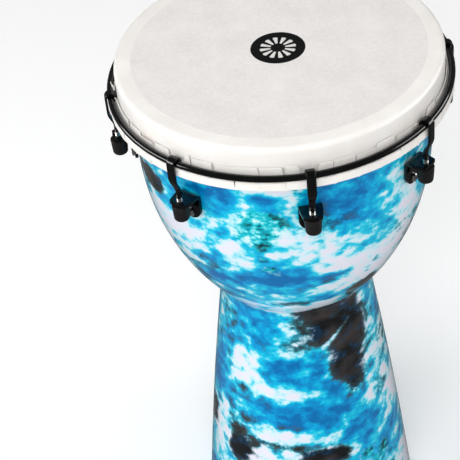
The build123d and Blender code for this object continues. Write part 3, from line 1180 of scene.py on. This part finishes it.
        def read(name: str) -> np.ndarray:
            """Read one float attribute of every point.

            Args:
                name: the attribute's name.

            Returns:
                One value for each point.
            """
            values = np.empty(count)
            mesh.attributes[name].data.foreach_get("value", values)
            return values

        flat = np.empty(count * 3)
        mesh.vertices.foreach_get("co", flat)
        turn, reach, height = flat.reshape(-1, 3).T.copy()
        lean, grow, lift, tip = read("lean"), read("grow"), read("lift"), read("tip")
        pitch = 2 * math.pi / self.flaps
        place = (turn / pitch + 0.5) % 1.0
        base = self.over_z + self.film
        tab = np.clip((height - base) / (self.tab_top - base), 0, 1)
        tab = np.where(reach < self.tab_r + 1.2 * MM, tab, 0.0)
        skewed = lean * (read("along") - self.lean_from) / reach
        narrowed = -tip * self.tab_twist * tab - (place - 0.5) * pitch * self.tab_taper * tab
        turn = turn + np.where(tab > 0, narrowed, skewed)
        # the tabs are cut short where the hooks come over
        step = 2 * math.pi / SETS
        away = np.abs((turn + step / 2) % step - step / 2) * reach
        keep = np.clip((away - self.notch) / self.notch_edge, 0.0, 1.0)
        keep = self.notch_left + (1 - self.notch_left) * keep
        length = self.tab_top - self.over_z
        height = height + tab * (keep * (length + grow * self.tab_vary) - length)
        # the skirt flares to its lower edge, and every flap lifts at one side
        place = (turn / pitch + 0.5) % 1.0
        on_skirt = (reach > self.skirt_r - 1.0 * MM) & (height < self.over_z)
        drop = (self.over_z - height) / (self.over_z - self.fold_low)
        reach = reach + np.where(on_skirt, 0.3 * MM + self.flare * drop, 0.0)
        reach = reach + np.where(on_skirt, (0.2 + 0.5 * lift) * place**2 * MM, 0.0)
        # most tabs lie back to the collar, and the few that lift most stand out over the ring
        over_ring = np.clip((height - self.ring_top) / (5.0 * MM), 0.0, 1.0)
        reach = reach + np.where(tab > 0, (0.25 * MM * lift - self.tab_inward) * tab, 0.0)
        flared = np.clip((lift - 0.8) / 0.1, 0.0, 1.0)
        reach = reach + np.where(tab > 0, self.tab_flare * flared * over_ring * keep, 0.0)
        low_end = on_skirt & (height < self.fold_low + 3.0 * MM)
        edge = np.abs(place - 0.5) * 2
        height = height - np.where(low_end, 1.1 * MM * edge**10 * lift, 0.0)
        wrapped = np.stack([reach * np.cos(turn), reach * np.sin(turn), height], axis=1)
        mesh.vertices.foreach_set("co", wrapped.ravel())
        for name in ("lean", "grow", "lift", "tip", "along"):
            mesh.attributes.remove(mesh.attributes[name])
        mesh.update()

    def disc(self, name: str, radius: float, low: float, thick: float, look: Look) -> bpy.types.Object:
        """Turn a thin flat disc that lies on the head.

        Args:
            name: the piece's name.
            radius: its radius.
            low: height of its underside.
            thick: its thickness.
            look: its finish.

        Returns:
            The mesh object.
        """
        first = 0.5 * MM
        rings = max(2, int((radius - first) / (12 * MM)))
        radii = [first + (radius - first) * i / rings for i in range(rings + 1)]
        edge = thick * 0.5
        profile = [(r, low + thick) for r in radii[:-1]] + [(radius - edge, low + thick), (radius, low)]
        profile += [(first, low)]
        piece = self.trees.turn(name, profile, self.steps, look)
        close_axis(piece, self.hole)
        shade(piece, 60.0)
        return piece

    def rays(self, low: float, thick: float) -> bpy.types.Object:
        """Make a plain ring of pale tapered bars, printed on the mark.

        Args:
            low: height of the print's underside.
            thick: its thickness.

        Returns:
            The mesh object.
        """
        points, faces = [], []
        inner, outer = self.ray_span
        for number in range(self.ray_count):
            turn = 2 * math.pi * number / self.ray_count
            outline = [(inner, -0.9), (outer, -2.4), (outer + 0.9 * MM, 0.0), (outer, 2.4), (inner, 0.9)]
            flat = np.array([[r, side * MM] for r, side in outline])
            count = len(flat)
            start = len(points)
            for height in (low, low + thick):
                ring = turned_about(np.column_stack([flat, np.full(count, height)]), turn)
                points += [tuple(p) for p in ring]
            faces.append(tuple(start + i for i in reversed(range(count))))
            faces.append(tuple(start + count + i for i in range(count)))
            for i in range(count):
                j = (i + 1) % count
                faces.append((start + i, start + j, start + count + j, start + count + i))
        piece = mesh_object("mark_rays", np.array(points), faces)
        outward(piece)
        piece.data.materials.append(Look.PALE_INK.material())
        return piece

    def build(self) -> list[bpy.types.Object]:
        """Make the whole head and hide the CAD pieces that it stands in for.

        Returns:
            Every piece of the head.
        """
        body = self.body()
        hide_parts("head_film")
        flaps = self.folded_flaps()
        coating = self.disc("playing_coating", self.coating_r, self.top, self.coating, Look.COATING)
        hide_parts("head_coating")
        level = self.top + self.coating
        mark = self.disc("plain_centre_mark", self.mark_r, level, self.mark * 0.7, Look.BLACK_INK)
        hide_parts("centre_mark")
        rays = self.rays(level + self.mark * 0.7, self.mark * 0.3)
        return [body, flaps, coating, mark, rays]


# ---------------------------------------------------------------- rim ring


@dataclass
class RimRing:
    """The round bar ring with its weld."""

    trees: TurnedTree
    ring_r: float = 162.5 * MM
    bar: float = 3.2 * MM
    height: float = 583.0 * MM
    steps: int = 360
    weld_at: float = math.radians(112)
    weld_wide: float = 5.0 * MM
    weld_raise: float = 0.07
    around: int = 20

    def build(self) -> list[bpy.types.Object]:
        """Turn the ring and raise the bead where its ends are welded.

        Returns:
            The ring, alone in a list.
        """
        around = self.around
        profile = arc((self.ring_r, self.height), self.bar, 0, 360 - 360 / around, around)
        piece = self.trees.turn("rim_hoop_bar", profile, self.steps, Look.COAT)
        for vertex in piece.data.vertices:
            turn = math.atan2(vertex.co.y, vertex.co.x)
            away = (turn - self.weld_at) * self.ring_r / self.weld_wide
            if abs(away) < 1:
                spot = Vector((math.cos(turn), math.sin(turn), 0)) * self.ring_r + Vector((0, 0, self.height))
                bead = self.weld_raise * (1 - away**2) * (1 + 0.3 * math.sin(away * 14))
                vertex.co = spot + (vertex.co - spot) * (1 + bead)
        shade(piece, 60.0)
        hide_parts("rim_ring")
        return [piece]


# ---------------------------------------------------------------- hooks


@dataclass
class TuningHooks:
    """The eight flat hooks, each drawn down to a threaded rod."""

    ring_r: float = 162.5 * MM
    ring_z: float = 583.0 * MM
    claw: float = 4.8 * MM
    claw_thick: float = 2.8 * MM
    lip: float = 2.6 * MM
    strap_wide: float = 8.6 * MM
    strap_thick: float = 2.4 * MM
    straight_end: float = 567.5 * MM
    bend_pull: float = 8.0 * MM
    tip_z: float = 548.0 * MM
    rod_r: float = 161.4 * MM
    rod: float = 3.0 * MM
    rod_end: float = 520.0 * MM
    pitch: float = 1.0 * MM
    thread_depth: float = 0.32 * MM
    thread_top: float = 546.5 * MM
    coat_end: float = 541.6 * MM
    around: int = 24
    claw_points: int = 20
    shoulder_wide: float = 5.7 * MM
    shoulder_thick: float = 5.4 * MM
    shank: float = 2.8 * MM

    def path(self) -> np.ndarray:
        """Draw the strap's middle line, from the lip to the rod's shoulder.

        Returns:
            Radius and height of each point.
        """
        centre = (self.ring_r, self.ring_z)
        lip = [(centre[0] - self.claw, centre[1] - self.lip + self.lip * i / 3) for i in range(3)]
        over = arc(centre, self.claw, 180, 0, 17)
        out = self.ring_r + self.claw
        rows = 6
        leg = [(out, self.ring_z + (self.straight_end - self.ring_z) * i / rows) for i in range(1, rows + 1)]
        start, end = np.array([out, self.straight_end]), np.array([self.rod_r, self.tip_z])
        pull = np.array([0.0, self.bend_pull])
        bend = []
        for i in range(1, 13):
            t = i / 12
            spot = (1 - t) ** 3 * start + 3 * (1 - t) ** 2 * t * (start - pull)
            spot = spot + 3 * (1 - t) * t**2 * (end + pull) + t**3 * end
            bend.append(tuple(spot))
        return np.array(lip + over + leg + bend)

    def section(self, wide: float, thick: float, square: float) -> np.ndarray:
        """Draw a rounded section, across the strap and through its thickness.

        Args:
            wide: full width.
            thick: full thickness.
            square: 2 for an ellipse, more for a squarer outline.

        Returns:
            One row of across, through for each point.
        """
        turns = np.linspace(0, 2 * math.pi, self.around, endpoint=False) + math.pi / self.around
        cosine, sine = np.cos(turns), np.sin(turns)
        across = np.sign(cosine) * np.abs(cosine) ** (2 / square) * wide / 2
        through = np.sign(sine) * np.abs(sine) ** (2 / square) * thick / 2
        return np.stack([across, through], axis=1)

    def rings(self) -> list[np.ndarray]:
        """Lay rings of points down the strap and the rod, as in the first hook.

        Returns:
            The rings, from the lip to the rod's end.
        """
        path = self.path()
        steps = np.gradient(path, axis=0)
        steps /= np.linalg.norm(steps, axis=1)[:, None]
        rings = []
        for number, (spot, step) in enumerate(zip(path, steps)):
            out = np.array([-step[1], step[0]])
            share = min(max((self.straight_end - spot[1]) / (self.straight_end - self.tip_z), 0.0), 1.0)
            share = share if number > self.claw_points else 0.0
            ease = share * share * (3 - 2 * share)
            wide = self.strap_wide + (self.shoulder_wide - self.strap_wide) * ease
            wrapped = min(max((spot[1] - self.ring_z) / self.claw, 0.0), 1.0) ** 0.5
            flat_thick = self.strap_thick + (self.claw_thick - self.strap_thick) * wrapped
            thick = flat_thick + (self.shoulder_thick - flat_thick) * ease**2
            square = 7.0 + (2.0 - 7.0) * ease
            if number == 0:
                wide, thick = wide * 0.8, thick * 0.6
            flat = self.section(wide, thick, square)
            ring = np.empty((self.around, 3))
            ring[:, 0] = spot[0] + flat[:, 1] * out[0]
            ring[:, 1] = flat[:, 0]
            ring[:, 2] = spot[1] + flat[:, 1] * out[1]
            rings.append(ring)
        turns = np.linspace(0, 2 * math.pi, self.around, endpoint=False) + math.pi / self.around
        rows = int((self.tip_z - self.rod_end) / (self.pitch / 8))
        for row in range(1, rows + 1):
            height = self.tip_z - (self.tip_z - self.rod_end) * row / rows
            phase = (height / self.pitch - turns / (2 * math.pi)) % 1.0
            cut = np.abs(phase * 2 - 1) * self.thread_depth
            reach = np.where(height < self.thread_top, self.rod - cut, self.shank)
            ring = np.empty((self.around, 3))
            ring[:, 0] = self.rod_r + reach * np.sin(turns)
            ring[:, 1] = reach * np.cos(turns)
            ring[:, 2] = height
            rings.append(ring)
        return rings

    def build(self) -> list[bpy.types.Object]:
        """Make one hook and its turned copies, each standing for its CAD hook.

        Returns:
            The eight hooks.
        """
        rings = self.rings()
        points = np.concatenate(rings)
        faces = []
        around = self.around
        for row in range(len(rings) - 1):
            for i in range(around):
                j = (i + 1) % around
                here, below = row * around, (row + 1) * around
                faces.append((here + i, here + j, below + j, below + i))
        faces.append(tuple(reversed(range(around))))
        faces.append(tuple((len(rings) - 1) * around + i for i in range(around)))
        hooks = []
        for number, angle in enumerate(SET_ANGLES, start=1):
            piece = mesh_object(f"tuning_hook_{number}", turned_about(points, angle), faces)
            outward(piece)
            piece.data.materials.append(Look.COAT.material())
            piece.data.materials.append(Look.ZINC.material())
            for polygon in piece.data.polygons:
                side = abs(polygon.center.y * math.cos(angle) - polygon.center.x * math.sin(angle))
                bare = polygon.center.z < self.coat_end + 0.55 * side
                polygon.material_index = 1 if bare else 0
            shade(piece, 40.0)
            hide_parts(f"hook_{number}")
            hooks.append(piece)
        return hooks


# ---------------------------------------------------------------- brackets


@dataclass
class LugBrackets:
    """The eight bent steel lugs."""

    plate_z: float = 538.5 * MM
    plate: float = 3.0 * MM
    front_r: float = 167.0 * MM
    tongue_r: float = 145.4 * MM
    back_wide: float = 22.0 * MM
    front_wide: float = 17.4 * MM
    corner: float = 2.0 * MM
    tongue_drop: float = 29.0 * MM
    bend: float = 4.5 * MM
    rod_r: float = 161.4 * MM
    hole: float = 3.5 * MM
    hole_sides: int = 40
    columns: int = 22
    edge_ease: float = 0.45 * MM

    def rows(self) -> list[tuple[float, float, float, float, float]]:
        """Lay out the rows across the bent sheet, from the plate's front to the tongue's tip.

        Returns:
            Each row's radius, height, outward normal and half width.
        """
        flat_back = self.tongue_r + self.bend
        rows = []
        plate_run = self.front_r - flat_back
        edge = [self.corner * (1 - math.cos(math.pi / 2 * i / 5)) for i in range(5)]
        marks = edge + [self.corner + (plate_run - self.corner) * i / 12 for i in range(13)]
        for run in marks:
            share = min(run / (plate_run * 0.75), 1.0)
            half = (self.front_wide + (self.back_wide - self.front_wide) * share) / 2
            if run < self.corner:
                half -= self.corner - math.sqrt(self.corner**2 - (self.corner - run) ** 2)
            rows.append((self.front_r - run, self.plate_z, 0.0, 1.0, half))
        for i in range(1, 9):
            turn = math.pi / 2 * i / 8
            radius = flat_back - self.bend * math.sin(turn)
            height = self.plate_z - self.bend + self.bend * math.cos(turn)
            rows.append((radius, height, -math.sin(turn), math.cos(turn), self.back_wide / 2))
        round_r = self.back_wide / 2
        start = self.plate_z - self.bend
        end = self.plate_z - self.tongue_drop
        straight = start - end - round_r
        for i in range(1, 5):
            rows.append((self.tongue_r, start - straight * i / 4, -1.0, 0.0, round_r))
        for i in range(1, 13):
            turn = math.pi / 2 * i / 12
            half = max(round_r * math.cos(turn), 0.15 * MM)
            rows.append((self.tongue_r, end + round_r * (1 - math.sin(turn)), -1.0, 0.0, half))
        return rows

    def sheet_points(self) -> tuple[np.ndarray, list[tuple[int, ...]]]:
        """Make the bent sheet, as in the first bracket.

        Returns:
            Its points and faces.
        """
        rows = self.rows()
        columns = self.columns
        top, under = [], []
        flat_back = self.tongue_r + self.bend
        for radius, height, out, up, half in rows:
            straight = min(max((radius - flat_back) / (self.front_r - flat_back), 0.0), 1.0)
            for c in range(columns + 1):
                side = half * (2 * c / columns - 1)
                curved = math.sqrt(self.tongue_r**2 - side**2) - self.tongue_r
                x = radius + curved * (1 - straight)
                top.append((x, side, height))
                under.append((x - out * self.plate, side, height - up * self.plate))
        points = np.array(top + under)
        shift, wide = len(top), columns + 1
        faces = []
        for r in range(len(rows) - 1):
            for c in range(columns):
                a, b = r * wide + c, r * wide + c + 1
                faces.append((a, b, b + wide, a + wide))
                faces.append((a + shift, a + wide + shift, b + wide + shift, b + shift))
        rim = list(range(wide)) + [r * wide + columns for r in range(1, len(rows))]
        rim += [(len(rows) - 1) * wide + c for c in range(columns - 1, -1, -1)]
        rim += [r * wide for r in range(len(rows) - 2, 0, -1)]
        for a, b in zip(rim, rim[1:] + rim[:1]):
            faces.append((b, a, a + shift, b + shift))
        return points, faces

    def build(self) -> list[bpy.types.Object]:
        """Make the eight brackets with their rod holes and eased edges.

        Returns:
            The brackets.
        """
        points, faces = self.sheet_points()
        first = mesh_object("bracket_blank", points, faces)
        outward(first)
        sides = self.hole_sides
        turns = np.linspace(0, 2 * math.pi, sides, endpoint=False)
        ring = np.stack([self.rod_r + self.hole * np.cos(turns), self.hole * np.sin(turns)], axis=1)
        low = [(x, y, self.plate_z - 3 * self.plate) for x, y in ring]
        high = [(x, y, self.plate_z + 3 * self.plate) for x, y in ring]
        walls = [(i, (i + 1) % sides, sides + (i + 1) % sides, sides + i) for i in range(sides)]
        ends = [tuple(reversed(range(sides))), tuple(range(sides, 2 * sides))]
        drill = mesh_object("drill", np.array(low + high), walls + ends)
        outward(drill)
        cut = first.modifiers.new("rod_hole", "BOOLEAN")
        cut.object = drill
        cut.operation = "DIFFERENCE"
        cut.solver = "EXACT"
        apply_modifiers(first)
        ease = first.modifiers.new("eased_edges", "BEVEL")
        ease.width = self.edge_ease
        ease.segments = 3
        ease.limit_method = "ANGLE"
        ease.angle_limit = math.radians(40)
        apply_modifiers(first)
        bpy.data.objects.remove(drill)
        first.data.materials.clear()
        first.data.materials.append(Look.COAT.material())
        brackets = round_copies(first, "bent_lug", 0.0, 30.0)
        for number, piece in enumerate(brackets, start=1):
            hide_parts(f"lug_bracket_{number}")
        return brackets


# ---------------------------------------------------------------- nut caps


@dataclass
class NutCaps:
    """The eight soft caps over the tuning nuts."""

    trees: TurnedTree
    rod_r: float = 161.4 * MM
    top_z: float = 534.05 * MM
    low_z: float = 517.15 * MM
    top_r: float = 8.25 * MM
    low_r: float = 7.4 * MM
    bore: float = 5.85 * MM
    bottom_round: float = 2.6 * MM
    lip_round: float = 0.5 * MM
    bead: float = 0.12 * MM
    floor: float = 2.0 * MM
    steps: int = 56
    axis_hole: float = 0.4 * MM

    def profile(self) -> Section:
        """Draw the cap's closed section: rounded bottom, tapered side, small lip and inner pocket.

        Returns:
            The section's points.
        """
        centre = (self.low_r - self.bottom_round, self.low_z + self.bottom_round)
        bottom = [(0.3 * MM, self.low_z), (centre[0] * 0.5, self.low_z)]
        bottom += arc(centre, self.bottom_round, 270, 360, 8)
        rows = 8
        side_low, side_top = centre[1], self.top_z - 2.2 * MM
        widen, rise = self.top_r - self.low_r - self.bead, side_top - side_low
        side = [(self.low_r + widen * (i / rows), side_low + rise * (i / rows)) for i in range(1, rows + 1)]
        lip = [(self.top_r, side_top + 0.35 * MM)]
        lip += arc((self.top_r - self.lip_round, self.top_z - self.lip_round), self.lip_round, 0, 90, 5)
        floor = self.low_z + self.floor
        inside = [(self.bore, self.top_z), (self.bore, floor), (0.3 * MM, floor)]
        return bottom + side + lip + inside

    def build(self) -> list[bpy.types.Object]:
        """Turn one cap and stand a copy on every rod's axis.

        Returns:
            The caps.
        """
        blank = self.trees.turn("cap_blank", self.profile(), self.steps, Look.RUBBER)
        close_axis(blank, self.axis_hole)
        caps = round_copies(blank, "soft_cap", self.rod_r, 45.0)
        for number, piece in enumerate(caps, start=1):
            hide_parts(f"nut_cap_{number}")
        return caps


# ---------------------------------------------------------------- small hardware


@dataclass(frozen=True)
class SmallHardware:
    """The carried-over hardware and the finish that each node takes."""

    looks: dict[str, Look] = field(
        default_factory=lambda: {
            "flesh_hoop": Look.STEEL,
            "nut_washers": Look.OXIDE,
            "lug_bolts": Look.ZINC,
            "lug_bolt_washers": Look.ZINC,
            "lug_bolt_nuts": Look.ZINC,
            **{f"tuning_nut_{i}": Look.ZINC for i in range(1, SETS + 1)},
        }
    )

    def dress(self) -> None:
        """Give every node its material."""
        for name, look in self.looks.items():
            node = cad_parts[name]
            node.data.materials.clear()
            node.data.materials.append(look.material())
            LOG.info("dressed %s", name)


# ---------------------------------------------------------------- studio


@dataclass
class Studio:
    """Plain pale floor, soft lights and the camera."""

    camera_at: tuple[float, float, float] = (-0.1419, -1.1711, 1.4034)
    aim: tuple[float, float, float] = (-0.0639, 0.0042, 0.3923)
    roll_degrees: float = -6.474
    lens: float = 117.39
    floor_size: float = 14.0
    floor_cells: int = 8
    backdrop_r: float = 6.8
    backdrop_sides: int = 64
    lights_aim: tuple[float, float, float] = (0.0, 0.0, 0.45)
    sky_strength: float = 0.14

    def floor(self) -> None:
        """Lay a broad flat pale floor, which reflections don't show."""
        half = self.floor_size / 2
        cells = self.floor_cells
        grid = [
            (-half + self.floor_size * i / cells, -half + self.floor_size * j / cells, 0.0)
            for j in range(cells + 1)
            for i in range(cells + 1)
        ]
        wide = cells + 1
        faces = [
            (j * wide + i, j * wide + i + 1, (j + 1) * wide + i + 1, (j + 1) * wide + i)
            for j in range(cells)
            for i in range(cells)
        ]
        floor = mesh_object("studio_floor", np.array(grid), faces)
        floor.data.materials.append(Look.FLOOR.material())
        floor.visible_glossy = False

    def backdrop(self) -> None:
        """Stand a pale wall all round, far off, that only the camera sees."""
        turns = [2 * math.pi * i / self.backdrop_sides for i in range(self.backdrop_sides)]
        ring = np.array([(math.cos(t), math.sin(t)) for t in turns]) * self.backdrop_r
        points = [(x, y, z) for z in (0.0, self.backdrop_r) for x, y in ring]
        count = self.backdrop_sides
        faces = [(i, i + count, (i + 1) % count + count, (i + 1) % count) for i in range(count)]
        wall = mesh_object("studio_backdrop", np.array(points), faces)
        wall.data.materials.append(Look.BACKDROP.material())
        wall.visible_diffuse = wall.visible_glossy = wall.visible_shadow = False

    def light(
        self,
        name: str,
        at: tuple[float, float, float],
        size: tuple[float, float],
        power: float,
        glint: bool,
    ) -> None:
        """Hang one soft box aimed at the drum's bowl.

        Args:
            name: the light's name.
            at: its place in metres.
            size: its width and height in metres.
            power: watts.
            glint: True if it only shows in shiny surfaces, False if it only lights.
        """
        data = bpy.data.lights.new(name, "AREA")
        data.shape = "RECTANGLE"
        data.size, data.size_y = size
        data.energy = power
        lamp = bpy.data.objects.new(name, data)
        bpy.context.scene.collection.objects.link(lamp)
        lamp.location = at
        aim = Vector(self.lights_aim) - Vector(at)
        lamp.rotation_euler = aim.to_track_quat("-Z", "Y").to_euler()
        lamp.visible_diffuse = not glint
        lamp.visible_glossy = glint

    def lights(self) -> None:
        """Set broad boxes that light the drum, side boxes that only glint, and a dim even sky."""
        self.light("overhead_box", (-0.4, 0.2, 4.9), (3.6, 3.0), 98.0, False)
        self.light("front_key", (-0.9, -2.9, 3.3), (2.6, 1.8), 75.0, False)
        self.light("left_box", (-3.4, -1.0, 1.5), (2.0, 1.5), 56.0, False)
        self.light("right_box", (3.4, -1.6, 1.7), (2.0, 1.5), 40.0, False)
        self.light("left_glint", (-3.3, 0.3, 1.5), (3.2, 1.3), 130.0, True)
        self.light("right_glint", (3.3, -0.2, 1.5), (3.2, 1.3), 100.0, True)
        world = bpy.data.worlds.new("studio_sky")
        bpy.context.scene.world = world
        world.use_nodes = True
        sky = world.node_tree.nodes["Background"]
        sky.inputs["Color"].default_value = linear("FFFFFF")
        sky.inputs["Strength"].default_value = self.sky_strength

    def camera(self) -> None:
        """Stand the camera above and a little left of the front."""
        data = bpy.data.cameras.new("studio_camera")
        data.lens = self.lens
        data.sensor_width = 36.0
        data.clip_end = 50.0
        view = bpy.data.objects.new("studio_camera", data)
        bpy.context.scene.collection.objects.link(view)
        view.location = self.camera_at
        aim = Vector(self.aim) - Vector(self.camera_at)
        level = aim.to_track_quat("-Z", "Y").to_matrix().to_4x4()
        roll = Matrix.Rotation(math.radians(self.roll_degrees), 4, "Z")
        view.rotation_euler = (level @ roll).to_euler()
        bpy.context.scene.camera = view

    def build(self) -> None:
        """Set the whole studio up."""
        self.floor()
        self.backdrop()
        self.lights()
        self.camera()
        bpy.context.scene.view_settings.view_transform = "Standard"


def main() -> None:
    """Build every piece, put it on its body and log it."""
    logging.basicConfig(level=logging.INFO, format="%(message)s")
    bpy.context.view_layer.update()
    Studio().build()
    trees = TurnedTree()
    sets = [
        ("shell", PrintedShell(trees).build()),
        ("head", FilmHead(trees).build()),
        ("head", RimRing(trees).build()),
        ("head", TuningHooks().build()),
        ("shell", LugBrackets().build()),
    ]
    for body, pieces in sets:
        for piece in pieces:
            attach(piece, body)
            LOG.info("%s rides on %s, %d faces", piece.name, body, len(piece.data.polygons))
    for number, piece in enumerate(NutCaps(trees).build(), start=1):
        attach(piece, f"nut_{number}")
        LOG.info("%s rides on nut_%d", piece.name, number)
    SmallHardware().dress()


if __name__ == "__main__":
    main()
